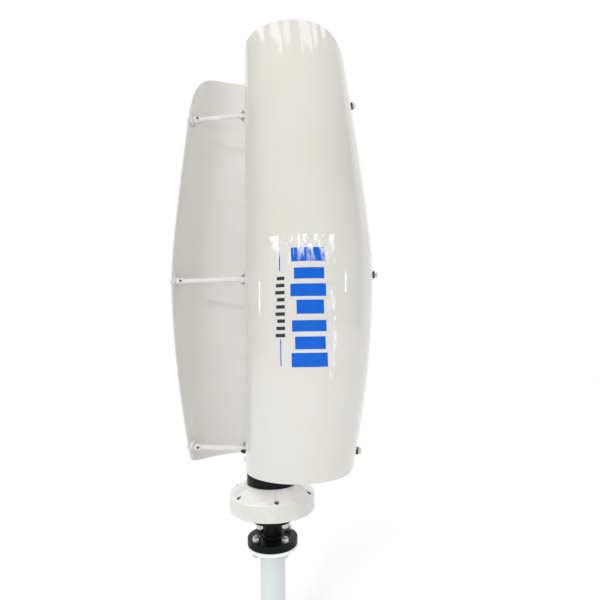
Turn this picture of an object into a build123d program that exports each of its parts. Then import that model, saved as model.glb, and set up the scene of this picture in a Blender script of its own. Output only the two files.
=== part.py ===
"""Two-blade vertical axis wind turbine on a disc generator and a mast stub.

Millimetres, +Z up along the spin axis, origin at the centre of the mast stub's lower end.
The arms lie along X. Blade A opens toward +Y; blade B is blade A turned half a turn.
"""
import os
from math import atan, degrees

from build123d import *

# ---- rotor ----
BLADE_HEIGHT = 1052.0
ROTOR_RADIUS = 256.0          # outer face of a blade where it is widest
TOP_RADIUS = 191.0            # outer face at the blade's top edge
BOTTOM_RADIUS = 197.0         # outer face at the blade's bottom edge
BELLY_HEIGHT = 488.0          # widest level, above the blade's bottom edge
TOP_POWER, LOW_POWER = 1.25, 1.8    # fullness above and below it: 2 is a parabola
OVERLAP = 62.0                # how far each blade's inner edge runs past the axis
SHELL = 3.0                   # blade wall
LIP = 22.0                    # straight run of the outer edge past the arm line
OUTER_TOP_CORNER = 140.0, 148.0     # run round the shell, drop
OUTER_LOW_CORNER = 110.0, 20.0
INNER_TOP_CORNER = 22.0, 22.0
INNER_LOW_CORNER = 6.0, 6.0
CORNER_DEPTH = 120.0          # reach of the corner cuts across the shell
SECTIONS = 13
ARM_HEIGHTS = {"low": 42.0, "mid": 462.0, "top": 895.0}

# ---- arms and their fittings ----
ROD_R = 6.0
FLAT_CUT = 1.5                # taken off the rod's top and bottom near the axis
TUBE_R, TUBE_WALL = 17.0, 2.5
TUBE_GAP = 5.0                # between the centre tube and a rod's inner end
FOOT_R, FOOT_T = 16.5, 4.0
BOSS_WALL, BOSS_TIP_WALL, BOSS_LENGTH = 4.5, 1.5, 18.0
BAR_WIDTH, BAR_T = 26.0, 5.0
BAR_END = 8.5                 # bar past its outer bolt
COLLAR_WALL, COLLAR_H = 8.0, 15.0
EDGE_TO_BOLT = 7.5            # outer bolt outside the blade's inner edge
EDGE_TO_CLIP_BOLT = 16.0      # inner bolt inside that edge
CLIP_T, CLIP_DROP, CLIP_WIDTH, CLIP_LEG = 3.0, 24.0, 22.0, 26.0
CLIP_Y = -13.5                # clip screw from the arm line
CLEAR = 1.5                   # gap round the arm and bar in a blade's notch
PAD_T = 3.5                   # rubber pad outside the blade at the bolt's centre line
M8_R, M8_HOLE, M8_FLATS, M8_HEAD, M8_NUT = 4.0, 4.3, 13.0, 5.3, 6.5
M8_WASHER_R, M8_WASHER = 8.0, 1.6
M8_ENGAGED = 16.0             # bolt inside the rod
M6_R, M6_HOLE, M6_FLATS, M6_HEAD, M6_NUT = 3.0, 3.1, 10.0, 4.0, 5.0
M6_END = 4.5                  # thread showing past an arm nut
GRUB_R, GRUB_LENGTH = 2.5, 6.0
M5_R, M5_HOLE, M5_HEAD_R, M5_HEAD, M5_FLATS, M5_NUT = 2.5, 2.6, 4.8, 2.6, 8.0, 4.0

# ---- mast, neck and flanges ----
MAST_R, MAST_WALL = 30.15, 3.2
MAST_TOP = 240.0
SPIGOT_CUT = 0.6              # tube's end turned down where it enters its flange
WELD = 5.0
M10_R, M10_HOLE, M10_FLATS, M10_HEAD = 5.0, 5.5, 16.0, 6.4
M10_NUT, M10_WASHER, M10_WASHER_R = 8.4, 2.0, 9.0
BOLT_END = 3.6                # M10 thread showing past its nut
WELD_TO_WASHER = 2.85
FLANGE_EDGE = 4.0             # flange past the washers
MAST_FLANGE_T, ADAPTOR_T, BASE_T = 8.0, 7.0, 9.0
FLANGE_BOLT_TURN = 49.0
CABLE_HOLE_R, GROMMET_WALL, GROMMET_LIP = 14.0, 5.0, 3.0
NECK_R, NECK_WALL, NECK_HEIGHT = 21.5, 4.5, 41.0
NECK_FLANGE_T = 12.0
NECK_TO_WASHER = 10.5
NECK_EDGE = 1.0
NECK_BOLT_TURN = 57.0
CAP_R, CAP_HEAD, CAP_RECESS = 7.8, 5.5, 6.0

# ---- generator ----
DISC_R, RIM_WALL = 103.0, 4.0
RIM_GAP = 3.0                 # lower cover above the shaft flange
COVER_T = 5.0
RIM_SHOULDER = 3.6            # rim above the upper magnet plate
CONE_RISE, CONE_LAND, CONE_EDGE = 21.0, 3.0, 2.0
PLATE_T, MAGNET_T, STATOR_T = 4.0, 5.0, 9.0
MAGNET_R, MAGNETS = 10.0, 12
COIL_R, COIL_HOLE, COILS = 18.0, 8.0, 9
AIR_GAP = 1.2
SCREWS, SCREW_TURN = 6, 48.0
POST_R, POST_INSET = 6.0, 9.0 # screw posts, in from the rim
HEAD_R, HEAD_H, HEAD_HEX = 4.6, 2.8, 4.0
HEAD_RECESS, HEAD_GAP = 3.5, 0.6
RIB_WIDTH, RIB_RISE, RIB_START, RIB_PAST = 9.0, 1.6, 2.5, 4.5
STATOR_GAP = 2.0              # stator inside the posts
SHAFT_R, SHAFT_BORE = 12.5, 5.0
RACE_WALL, TRACK_GAP, BEARING_H = 2.9, 2.6, 12.0
BALL_R, BALLS = 3.0, 9
BALL_PLAY = 0.35
CAGE_T, CAGE_LOW, CAGE_HIGH, CAGE_PLAY = 1.8, 2.5, 4.0, 0.02
BEARING_WALL = 5.5
SEAL_T, SEAL_GAP = 2.0, 0.4
NUT_WALL, NUT_H, NUT_SLOT = 4.5, 7.0, 4.0
HUB_R, HUB_H, HUB_BOSS_WALL, HUB_BOSS_H = 61.0, 20.0, 9.0, 25.0
BLADE_GAP = 16.0              # blade's bottom edge above the hub's top

# ---- sizes that follow from those ----
SPIGOT_R = MAST_R - SPIGOT_CUT
ROD_FLAT = ROD_R - FLAT_CUT
ROD_INNER = TUBE_R + TUBE_GAP
BOLT_NEAR = OVERLAP - EDGE_TO_CLIP_BOLT
BOLT_FAR = OVERLAP + EDGE_TO_BOLT
BAR_LENGTH = 2 * (BOLT_FAR + BAR_END)
FLAT_END = BAR_LENGTH / 2 + 4
BOSS_R, BOSS_TIP_R = ROD_R + BOSS_WALL, ROD_R + BOSS_TIP_WALL
COLLAR_R = TUBE_R + COLLAR_WALL
FLANGE_BOLT_R = MAST_R + WELD + WELD_TO_WASHER + M10_WASHER_R
FLANGE_R = FLANGE_BOLT_R + M10_WASHER_R + FLANGE_EDGE
NECK_BOLT_R = NECK_R + NECK_TO_WASHER + M10_WASHER_R
NECK_FLANGE_R = NECK_BOLT_R + M10_WASHER_R + NECK_EDGE
CONE_TOP_R = HUB_R + CONE_LAND
CONE_SLOPE = CONE_RISE / (DISC_R - CONE_EDGE - CONE_TOP_R)
SCREW_RING = DISC_R - POST_INSET
STATOR_R = SCREW_RING - POST_R - STATOR_GAP
PLATE_OUT = SCREW_RING - POST_R - 1
COIL_RING = STATOR_R - COIL_R - 3
MAGNET_RING = COIL_RING + 2
RACE_IN = SHAFT_R + RACE_WALL
BALL_RING = RACE_IN + TRACK_GAP
RACE_OUT = BALL_RING + TRACK_GAP
BEARING_OUT = RACE_OUT + RACE_WALL
SHOULDER_R = RACE_IN + 0.6
BOSS_WALL_R = BEARING_OUT + BEARING_WALL
PLATE_IN = BOSS_WALL_R + 2
HUB_BOSS_R = TUBE_R + HUB_BOSS_WALL
HUB_BOLT_RING = HUB_BOSS_R + 9

# ---- levels, built up from the mast ----
FLANGE_BOTTOM = MAST_TOP - MAST_FLANGE_T
BASE_BOTTOM = MAST_TOP + ADAPTOR_T
BASE_TOP = BASE_BOTTOM + BASE_T
SPIGOT_Z = FLANGE_BOTTOM - WELD - 2
NECK_FLANGE_Z = BASE_TOP + NECK_HEIGHT
SHAFT_FLANGE_Z = NECK_FLANGE_Z + NECK_FLANGE_T
SHAFT_FLANGE_TOP = SHAFT_FLANGE_Z + NECK_FLANGE_T
DISC_Z = SHAFT_FLANGE_TOP + RIM_GAP
COVER_TOP = DISC_Z + COVER_T
MAGNET_LOW = COVER_TOP + PLATE_T
STATOR_Z = MAGNET_LOW + MAGNET_T + AIR_GAP
STATOR_TOP = STATOR_Z + STATOR_T
MAGNET_HIGH = STATOR_TOP + AIR_GAP
CAVITY_TOP = MAGNET_HIGH + MAGNET_T + PLATE_T
RIM_TOP = CAVITY_TOP + RIM_SHOULDER
CONE_TOP = RIM_TOP + CONE_RISE
LOW_BEARING = DISC_Z + SEAL_T
HIGH_BEARING = STATOR_TOP + 3.0
NUT_Z = HIGH_BEARING + BEARING_H
HUB_TOP = CONE_TOP + HUB_H
CROSS_Z = HUB_TOP + HUB_BOSS_H / 2
SCREW_SEAT = CONE_TOP - CONE_SLOPE * (SCREW_RING - CONE_TOP_R) - HEAD_RECESS
BLADE_Z = HUB_TOP + BLADE_GAP
BLADE_TOP = BLADE_Z + BLADE_HEIGHT
BELLY_Z = BLADE_Z + BELLY_HEIGHT
ARM_Z = {level: BLADE_Z + height for level, height in ARM_HEIGHTS.items()}
TUBE_BOTTOM = CONE_TOP + 7.0
TUBE_TOP = ARM_Z["top"] + 16.0


# ---- plain shapes ----
def rod(radius, low, high, x=0.0, y=0.0):
    """Upright cylinder between two levels."""
    shape = Cylinder(radius, high - low, align=(Align.CENTER, Align.CENTER, Align.MIN))
    return Pos(x, y, low) * shape


def ring(outer, inner, low, high):
    """Upright tube between two levels."""
    return rod(outer, low, high) - rod(inner, low - 1, high + 1)


def rod_x(radius, start, end, y=0.0, z=0.0):
    """Cylinder along X between two positions."""
    low, high = min(start, end), max(start, end)
    shape = Cylinder(radius, high - low, align=(Align.CENTER, Align.CENTER, Align.MIN))
    return Pos(low, y, z) * Rot(0, 90, 0) * shape


def cone_x(radius, tip, start, end, z):
    """Cone along +X, wide at its far end."""
    shape = Cone(tip, radius, end - start, align=(Align.CENTER, Align.CENTER, Align.MIN))
    return Pos(start, 0, z) * Rot(0, 90, 0) * shape


def hex_prism(flats, low, high, x=0.0, y=0.0):
    """Upright hexagon, given across its flats."""
    outline = RegularPolygon(flats / 2, 6, major_radius=False)
    return Pos(x, y, low) * extrude(outline, high - low)


def around(shape, count, turn=0.0):
    """Copies of a shape spaced evenly round the spin axis."""
    return [Rot(0, 0, turn + 360.0 * i / count) * shape for i in range(count)]


def both_sides(shape):
    """A shape and its copy half a turn round the axis."""
    return [shape, Rot(0, 0, 180) * shape]


def cut_all(shape, tools):
    for tool in tools:
        shape = shape - tool
    return shape


def save(name, shapes):
    """Write one node; a list is kept as separate solids."""
    solids = shapes if isinstance(shapes, list) else [shapes]
    parts = [solid for shape in solids for solid in shape.solids()]
    body = parts[0] if len(parts) == 1 else Compound(children=parts)
    export_step(body, "parts/" + name + ".step")


# ---- blades ----
def outer_face(z):
    """Distance from the axis to a blade's outer face on the arm line."""
    end_radius = TOP_RADIUS if z > BELLY_Z else BOTTOM_RADIUS
    reach = BLADE_TOP - BELLY_Z if z > BELLY_Z else BELLY_Z - BLADE_Z
    power = TOP_POWER if z > BELLY_Z else LOW_POWER
    share = abs(z - BELLY_Z) / reach
    return ROTOR_RADIUS - (ROTOR_RADIUS - end_radius) * share ** power


def wall_lean(z):
    """Lean of the outer face from upright, in degrees; positive leans out going up."""
    return degrees(atan((outer_face(z + 1) - outer_face(z - 1)) / 2))


def blade_section(z, inset, reach):
    """Half-round section closed by a flat back at y = reach."""
    near, far = -OVERLAP + inset, outer_face(z) - inset
    radius = (far - near) / 2
    middle = (near + far) / 2
    arc = ThreePointArc((near, 0), (middle, -radius), (far, 0))
    back = Polyline((far, 0), (far, reach), (near, reach), (near, 0))
    return Pos(0, 0, z) * make_face(arc + back)


def envelope(inset, reach, margin):
    """Solid swept by the half-round section from below to above the blade."""
    low, high = BLADE_Z - margin, BLADE_TOP + margin
    levels = [low + (high - low) * i / (SECTIONS - 1) for i in range(SECTIONS)]
    return loft([blade_section(z, inset, reach) for z in levels])


def corner(size, x, edge, level, up):
    """Tool that rounds the corner of a free edge at y = edge; up is +1 or -1."""
    run, drop = size
    away = Align.MIN if up > 0 else Align.MAX
    block = Box(CORNER_DEPTH, run + LIP, drop + LIP, align=(Align.CENTER, Align.MIN, away))
    oval = extrude(Plane.YZ * Ellipse(run, drop), CORNER_DEPTH, both=True)
    return Pos(x, edge - run, level - up * drop) * (block - oval)


def notch(z):
    """Room in a blade's inner edge for the bar and the other blade's arm."""
    low = z - ROD_FLAT - BAR_T - CLEAR
    high = z + ROD_R + CLEAR
    depth = BAR_WIDTH / 2 + CLEAR
    block = Box(20, depth + 2, high - low, align=(Align.CENTER, Align.MIN, Align.MIN))
    return Pos(-OVERLAP, -depth, low) * block


def clip_screw_z(z):
    return z - ROD_FLAT - BAR_T - CLIP_DROP / 2 - 1


def blade(outside, inside):
    """Blade A: a half-round shell with a bulged outer edge."""
    shell = outside - inside
    spare = Box(40, LIP + 2, BLADE_HEIGHT + 4, align=(Align.CENTER, Align.MIN, Align.CENTER))
    shell = shell - Pos(-OVERLAP, 0, (BLADE_Z + BLADE_TOP) / 2) * spare
    tools = [
        corner(OUTER_TOP_CORNER, TOP_RADIUS, LIP, BLADE_TOP, 1),
        corner(OUTER_LOW_CORNER, BOTTOM_RADIUS, LIP, BLADE_Z, -1),
        corner(INNER_TOP_CORNER, -OVERLAP - 20, 0, BLADE_TOP, 1),
        corner(INNER_LOW_CORNER, -OVERLAP - 20, 0, BLADE_Z, -1),
    ]
    for z in ARM_Z.values():
        tools.append(notch(z))
        tools.append(rod_x(M8_HOLE, outer_face(z) - 20, outer_face(z) + 20, z=z))
        tools.append(rod_x(M5_HOLE, -OVERLAP - 10, -OVERLAP + 15, CLIP_Y, clip_screw_z(z)))
    return cut_all(shell, tools)


# ---- arms ----
def arm(z):
    """Round rod toward +X, flattened and drilled at its inner end."""
    tip = outer_face(z) - SHELL - FOOT_T - 1
    shape = rod_x(ROD_R, ROD_INNER, tip, z=z)
    side = Box(FLAT_END - ROD_INNER + 10, 20, 10, align=(Align.MIN, Align.CENTER, Align.MIN))
    shape -= Pos(ROD_INNER - 10, 0, z + ROD_FLAT) * side
    shape -= Pos(ROD_INNER - 10, 0, z - ROD_FLAT - 10) * side
    for x in (BOLT_NEAR, BOLT_FAR):
        shape -= rod(M6_HOLE, z - 2 * ROD_R, z + 2 * ROD_R, x)
    return shape - rod_x(M8_R, tip - M8_ENGAGED - 8, tip + 1, z=z)


def foot(z, inside):
    """Cast foot between the rod and the blade, its face shaped to the blade's inside."""
    wall = outer_face(z) - SHELL
    pad = Cylinder(FOOT_R, FOOT_T + 6, align=(Align.CENTER, Align.CENTER, Align.MIN))
    pad = Pos(wall, 0, z) * Rot(0, 90 - wall_lean(z), 0) * Pos(0, 0, -FOOT_T) * pad
    boss = cone_x(BOSS_R, BOSS_TIP_R, wall - FOOT_T - BOSS_LENGTH, wall - 1, z)
    shape = (pad + boss) & inside
    shape -= rod_x(ROD_R, wall - 40, wall - FOOT_T - 1, z=z)
    shape -= rod_x(M8_HOLE, wall - 10, wall + 10, z=z)
    return shape - grub(z)


def grub(z):
    """Set screw that locks the rod in its foot."""
    x = outer_face(z) - SHELL - FOOT_T - BOSS_LENGTH + 2 * GRUB_R
    screw = Cylinder(GRUB_R, GRUB_LENGTH, align=(Align.CENTER, Align.CENTER, Align.MIN))
    return Pos(x, ROD_R, z) * Rot(-90, 0, 0) * screw


def wedge(z, outside):
    """Rubber pad between the bolt's washer and the leaning blade wall."""
    face = outer_face(z)
    pad = rod_x(M8_WASHER_R + 1, face - 8, face + PAD_T, z=z) - outside
    return pad - rod_x(M8_HOLE, face - 20, face + 20, z=z)


def blade_washer(z):
    start = outer_face(z) + PAD_T
    disc = rod_x(M8_WASHER_R, start, start + M8_WASHER, z=z)
    return disc - rod_x(M8_HOLE, start - 1, start + M8_WASHER + 1, z=z)


def blade_bolt(z):
    """M8 hexagon bolt along the arm, from outside the blade into the rod's end."""
    seat = outer_face(z) + PAD_T + M8_WASHER
    tip = outer_face(z) - SHELL - FOOT_T - 1 - M8_ENGAGED - 4
    head = Pos(seat, 0, z) * Rot(0, 90, 0) * hex_prism(M8_FLATS, 0, M8_HEAD)
    return head + rod_x(M8_R, tip, seat, z=z)


def hub_bar(z):
    """Flat bar under the two arms of one level, with a collar on the centre tube."""
    top = z - ROD_FLAT
    low = top - BAR_T
    plate = extrude(SlotOverall(BAR_LENGTH, BAR_WIDTH), BAR_T) + Cylinder(
        COLLAR_R, BAR_T, align=(Align.CENTER, Align.CENTER, Align.MIN))
    shape = Pos(0, 0, low) * plate + rod(COLLAR_R, low - COLLAR_H, low)
    shape -= rod(TUBE_R, low - COLLAR_H - 1, top + 1)
    for x in (BOLT_NEAR, BOLT_FAR, -BOLT_NEAR, -BOLT_FAR):
        shape -= rod(M6_HOLE, low - 1, top + 1, x)
    return cut_all(shape, collar_screws(z))


def collar_screws(z):
    """Two set screws that lock a bar's collar on the tube."""
    middle = z - ROD_FLAT - BAR_T - COLLAR_H / 2
    screw = Cylinder(M6_R, COLLAR_R - TUBE_R, align=(Align.CENTER, Align.CENTER, Align.MIN))
    return both_sides(Pos(0, TUBE_R, middle) * Rot(-90, 0, 0) * screw)


def arm_bolts(z):
    """M6 bolts up through each bar and rod; the near one also holds the blade clip."""
    low = z - ROD_FLAT - BAR_T
    shapes = []
    for x, grip in ((-BOLT_NEAR, CLIP_T), (-BOLT_FAR, 0.0)):
        seat = low - grip
        head = hex_prism(M6_FLATS, seat - M6_HEAD, seat, x)
        shapes += both_sides(head + rod(M6_R, seat, z + ROD_FLAT + M6_NUT + M6_END, x))
    return shapes


def arm_nuts(z):
    shapes = []
    for x in (-BOLT_NEAR, -BOLT_FAR):
        nut = hex_prism(M6_FLATS, z + ROD_FLAT, z + ROD_FLAT + M6_NUT, x)
        shapes += both_sides(nut - rod(M6_R, z, z + ROD_FLAT + M6_NUT + 1, x))
    return shapes


def clip(z, inside):
    """Angle that ties a blade's inner edge to the bar."""
    top = z - ROD_FLAT - BAR_T
    flat = Box(CLIP_LEG, CLIP_WIDTH + 8, CLIP_T, align=(Align.MIN, Align.MIN, Align.MAX))
    upright = Box(SHELL + 3, CLIP_WIDTH, CLIP_DROP, align=(Align.MIN, Align.MIN, Align.MAX))
    edge = -OVERLAP + SHELL - 1
    shape = Pos(edge, -CLIP_WIDTH, top) * flat + Pos(edge, -CLIP_WIDTH, top) * upright
    shape = shape & inside
    shape -= rod(M6_HOLE, top - 10, top + 1, -BOLT_NEAR)
    return shape - rod_x(M5_HOLE, edge - 10, edge + 15, CLIP_Y, clip_screw_z(z))


def clip_screw(z):
    """M5 screw and nut through the blade wall and the clip's upright leg."""
    level = clip_screw_z(z)
    seat = -OVERLAP - 0.2
    inner = -OVERLAP + SHELL + 6
    head = rod_x(M5_HEAD_R, seat - M5_HEAD, seat, CLIP_Y, level)
    screw = head + rod_x(M5_R, seat, inner + 6, CLIP_Y, level)
    nut = Pos(inner, CLIP_Y, level) * Rot(0, 90, 0) * hex_prism(M5_FLATS, 0, M5_NUT)
    return screw, nut - rod_x(M5_R, inner - 1, inner + 6, CLIP_Y, level)


def build_rotor():
    outside = envelope(0.0, LIP, 0.0)
    inside = envelope(SHELL, LIP + 10, 10.0)
    blade_a = blade(outside, inside)
    save("blade_a", blade_a)
    save("blade_b", Rot(0, 0, 180) * blade_a)
    bolts, washers, wedges, grubs = [], [], [], []
    screws, nuts, clips, clip_screws, clip_nuts = [], [], [], [], []
    for level, z in ARM_Z.items():
        rods = both_sides(arm(z))
        save("arm_" + level + "_a", rods[0])
        save("arm_" + level + "_b", rods[1])
        save("feet_" + level, both_sides(foot(z, inside)))
        save("bar_" + level, hub_bar(z))
        clips += both_sides(clip(z, inside))
        bolts += both_sides(blade_bolt(z))
        washers += both_sides(blade_washer(z))
        wedges += both_sides(wedge(z, outside))
        grubs += both_sides(grub(z)) + collar_screws(z)
        screws += arm_bolts(z)
        nuts += arm_nuts(z)
        screw, nut = clip_screw(z)
        clip_screws += both_sides(screw)
        clip_nuts += both_sides(nut)
    save("blade_bolts", bolts)
    save("blade_washers", washers)
    save("wedge_pads", wedges)
    save("grub_screws", grubs)
    save("clips", clips)
    save("arm_bolts", screws)
    save("arm_nuts", nuts)
    save("clip_screws", clip_screws)
    save("clip_nuts", clip_nuts)
    tube = ring(TUBE_R, TUBE_R - TUBE_WALL, TUBE_BOTTOM, TUBE_TOP)
    save("centre_tube", tube - cross_bolt_hole())
    save("tube_cap", rod(TUBE_R, TUBE_TOP, TUBE_TOP + 4) + rod(TUBE_R - TUBE_WALL, TUBE_TOP - 12, TUBE_TOP))


# ---- hub on the generator ----
def cross_bolt_hole():
    return Pos(0, 0, CROSS_Z) * Rot(90, 0, 0) * Cylinder(M8_R, 3 * HUB_BOSS_R)


def build_hub():
    hub = chamfer(rod(HUB_R, CONE_TOP, HUB_TOP).edges().filter_by(GeomType.CIRCLE), 0.8)
    hub += rod(HUB_BOSS_R, HUB_TOP, HUB_TOP + HUB_BOSS_H)
    hub -= rod(TUBE_R, TUBE_BOTTOM, HUB_TOP + HUB_BOSS_H + 1)
    hub = cut_all(hub, around(rod(M6_HOLE, CONE_TOP - 1, HUB_TOP + 1, HUB_BOLT_RING), SCREWS))
    save("hub", hub - cross_bolt_hole())
    head = hex_prism(M6_FLATS, HUB_TOP, HUB_TOP + M6_HEAD, HUB_BOLT_RING)
    save("hub_bolts", around(head + hub_bolt_shank(), SCREWS))
    tip = -HUB_BOSS_R - M8_NUT - 2.5
    bolt = hex_prism(M8_FLATS, HUB_BOSS_R, HUB_BOSS_R + M8_HEAD) + rod(M8_R, tip, HUB_BOSS_R)
    nut = hex_prism(M8_FLATS, -HUB_BOSS_R - M8_NUT, -HUB_BOSS_R) - rod(M8_R, tip, HUB_BOSS_R)
    turn = Pos(0, 0, CROSS_Z) * Rot(90, 0, 0)
    save("cross_bolt", turn * bolt)
    save("cross_nut", turn * nut)


def hub_bolt_shank():
    return rod(M6_R, CAVITY_TOP + 8, HUB_TOP, HUB_BOLT_RING)


# ---- generator ----
def groove():
    """Ring that cuts the ball track in both races of a bearing."""
    return Torus(BALL_RING, BALL_R + BALL_PLAY)


def races(low):
    middle = low + BEARING_H / 2
    track = Pos(0, 0, middle) * groove()
    inner = ring(RACE_IN, SHAFT_R, low, low + BEARING_H) - track
    outer = ring(BEARING_OUT, RACE_OUT, low, low + BEARING_H) - track
    return inner, outer


def balls(low):
    return around(Pos(BALL_RING, 0, low + BEARING_H / 2) * Sphere(BALL_R), BALLS)


def cage(low):
    middle = low + BEARING_H / 2
    band = ring(BALL_RING + CAGE_T / 2, BALL_RING - CAGE_T / 2, middle - CAGE_LOW, middle + CAGE_HIGH)
    pocket = Pos(BALL_RING, 0, middle) * Sphere(BALL_R + CAGE_PLAY)
    return cut_all(band, around(pocket, BALLS))


def cover_screw(radius, low):
    return rod(radius, low, CONE_TOP, SCREW_RING)


def cone_level(radius):
    """Height of the upper cover's cone at a radius."""
    return CONE_TOP - CONE_SLOPE * (radius - CONE_TOP_R)


def upper_cover():
    """Conical cover with its rim, bearing boss and screw posts."""
    outline = Polyline(
        (0, CONE_TOP), (CONE_TOP_R, CONE_TOP), (DISC_R - CONE_EDGE, RIM_TOP),
        (DISC_R, RIM_TOP - CONE_EDGE),
        (DISC_R, COVER_TOP), (DISC_R - RIM_WALL, COVER_TOP), (DISC_R - RIM_WALL, CAVITY_TOP),
        (PLATE_OUT + 1, CAVITY_TOP), (PLATE_OUT + 1, cone_level(PLATE_OUT + 1) - 4),
        (CONE_TOP_R - 2, CONE_TOP - 5), (HUB_BOLT_RING + 6, CONE_TOP - 5),
        (HUB_BOLT_RING + 6, CAVITY_TOP), (BOSS_WALL_R, CAVITY_TOP),
        (BOSS_WALL_R, HIGH_BEARING - 1), (BEARING_OUT, HIGH_BEARING - 1),
        (BEARING_OUT, NUT_Z), (BEARING_OUT - 2.5, NUT_Z), (BEARING_OUT - 2.5, NUT_Z + 13),
        (0, NUT_Z + 13), close=True)
    shape = revolve(Plane.XZ * make_face(outline), Axis.Z)
    post = rod(POST_R, COVER_TOP, CAVITY_TOP, SCREW_RING)
    for piece in around(post, SCREWS, SCREW_TURN):
        shape += piece
    for rib in around(cover_rib(), SCREWS, SCREW_TURN):
        shape += rib
    drills = around(cover_screw(M5_HOLE, DISC_Z), SCREWS, SCREW_TURN)
    drills += around(rod(HEAD_R + HEAD_GAP, SCREW_SEAT, CONE_TOP, SCREW_RING), SCREWS, SCREW_TURN)
    drills += around(hub_bolt_shank(), SCREWS)
    return cut_all(shape, drills)


def cover_rib():
    """Low ridge from the hub seat out to a screw."""
    inner, outer = CONE_TOP_R + RIB_START, SCREW_RING + RIB_PAST
    low, high = cone_level(outer), cone_level(inner)
    ends = []
    for x, z, share in ((inner, high, 0.6), (outer, low, 1.0)):
        wing = RIB_WIDTH * share
        outline = Polyline((-wing, z - 2), (0, z + RIB_RISE), (wing, z - 2), close=True)
        ends.append(Plane(origin=(x, 0, 0), x_dir=(0, 1, 0), z_dir=(1, 0, 0)) * make_face(outline))
    return loft(ends, ruled=True)


def lower_cover():
    """Flat cover with its bearing boss and a spigot inside the rim."""
    shape = rod(DISC_R, DISC_Z, COVER_TOP)
    shape = chamfer(shape.edges().group_by(Axis.Z)[0], 1.5)
    shape += rod(BOSS_WALL_R, COVER_TOP, LOW_BEARING + BEARING_H)
    shape -= rod(BEARING_OUT, DISC_Z - 1, LOW_BEARING + BEARING_H + 1)
    return cut_all(shape, around(cover_screw(M5_R, DISC_Z + 1), SCREWS, SCREW_TURN))


def build_generator():
    save("upper_cover", upper_cover())
    save("lower_cover", lower_cover())
    low_plate = ring(PLATE_OUT, PLATE_IN, COVER_TOP, MAGNET_LOW)
    save("magnet_plates", [low_plate, ring(PLATE_OUT, PLATE_IN, CAVITY_TOP - PLATE_T, CAVITY_TOP)])
    low = rod(MAGNET_R, MAGNET_LOW, MAGNET_LOW + MAGNET_T, MAGNET_RING)
    high = rod(MAGNET_R, MAGNET_HIGH, MAGNET_HIGH + MAGNET_T, MAGNET_RING)
    save("magnets", around(low, MAGNETS) + around(high, MAGNETS))
    pocket = rod(COIL_R, STATOR_Z - 1, STATOR_TOP + 1, COIL_RING)
    core = rod(COIL_HOLE, STATOR_Z, STATOR_TOP, COIL_RING)
    coil = rod(COIL_R, STATOR_Z, STATOR_TOP, COIL_RING) - core
    disc = cut_all(ring(STATOR_R, SHAFT_R, STATOR_Z, STATOR_TOP), around(pocket, COILS))
    save("stator_disc", [disc] + around(core, COILS))
    save("stator_coils", around(coil, COILS))
    low_inner, low_outer = races(LOW_BEARING)
    high_inner, high_outer = races(HIGH_BEARING)
    save("inner_races", [low_inner, high_inner])
    save("outer_races", [low_outer, high_outer])
    for name, level in (("low", LOW_BEARING), ("high", HIGH_BEARING)):
        save(name + "_balls", balls(level))
        save(name + "_cage", cage(level))
    save("seal", ring(BEARING_OUT, SHOULDER_R + SEAL_GAP, DISC_Z, LOW_BEARING))
    screw = rod(HEAD_R, SCREW_SEAT, SCREW_SEAT + HEAD_H, SCREW_RING)
    screw -= hex_prism(HEAD_HEX, SCREW_SEAT + 1, CONE_TOP, SCREW_RING)
    screw += rod(M5_R, DISC_Z + 1, SCREW_SEAT, SCREW_RING)
    save("cover_screws", around(screw, SCREWS, SCREW_TURN))


# ---- shaft, neck and mast ----
def build_shaft():
    shaft = rod(NECK_FLANGE_R, SHAFT_FLANGE_Z, SHAFT_FLANGE_TOP)
    shaft += rod(SHOULDER_R, SHAFT_FLANGE_TOP, LOW_BEARING)
    shaft += rod(SHAFT_R, LOW_BEARING, NUT_Z + NUT_H + 1)
    shaft -= rod(SHAFT_BORE, SHAFT_FLANGE_Z - 1, STATOR_TOP)
    shaft -= rod_x(2.5, 0, SHAFT_R + 1, z=(STATOR_Z + STATOR_TOP) / 2)
    shaft = cut_all(shaft, around(neck_hole(), 4, NECK_BOLT_TURN))
    recess = rod(CAP_R + 0.5, SHAFT_FLANGE_TOP - CAP_RECESS, DISC_Z, NECK_BOLT_R)
    shaft = cut_all(shaft, around(recess, 4, NECK_BOLT_TURN))
    save("stator_shaft", shaft)
    low = ring(SHOULDER_R, SHAFT_R, LOW_BEARING + BEARING_H, STATOR_Z)
    save("spacers", [low, ring(SHOULDER_R, SHAFT_R, STATOR_TOP, HIGH_BEARING)])
    outer = SHAFT_R + NUT_WALL
    nut = rod(outer, NUT_Z, NUT_Z + NUT_H) - rod(SHAFT_R, NUT_Z - 1, NUT_Z + NUT_H + 1)
    slot = Pos(outer, 0, NUT_Z + NUT_H / 2) * Box(NUT_SLOT, NUT_SLOT, NUT_H + 1)
    save("shaft_nut", cut_all(nut, around(slot, 4)))


def neck_hole():
    return rod(M10_HOLE, NECK_FLANGE_Z - 1, SHAFT_FLANGE_TOP + 1, NECK_BOLT_R)


def build_neck():
    plate = ring(NECK_FLANGE_R, NECK_R, NECK_FLANGE_Z, SHAFT_FLANGE_Z)
    save("neck_flange", cut_all(plate, around(neck_hole(), 4, NECK_BOLT_TURN)))
    save("neck_tube", ring(NECK_R, NECK_R - NECK_WALL, BASE_BOTTOM, SHAFT_FLANGE_Z))
    save("neck_weld", weld_ring(NECK_R, BASE_TOP, WELD))
    seat = SHAFT_FLANGE_TOP - CAP_RECESS
    end = NECK_FLANGE_Z - M10_WASHER - M10_NUT - BOLT_END
    bolt = rod(CAP_R, seat, seat + CAP_HEAD, NECK_BOLT_R) - hex_prism(6, seat + 2, seat + 8, NECK_BOLT_R)
    save("neck_bolts", around(bolt + rod(M10_R, end, seat, NECK_BOLT_R), 4, NECK_BOLT_TURN))


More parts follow.
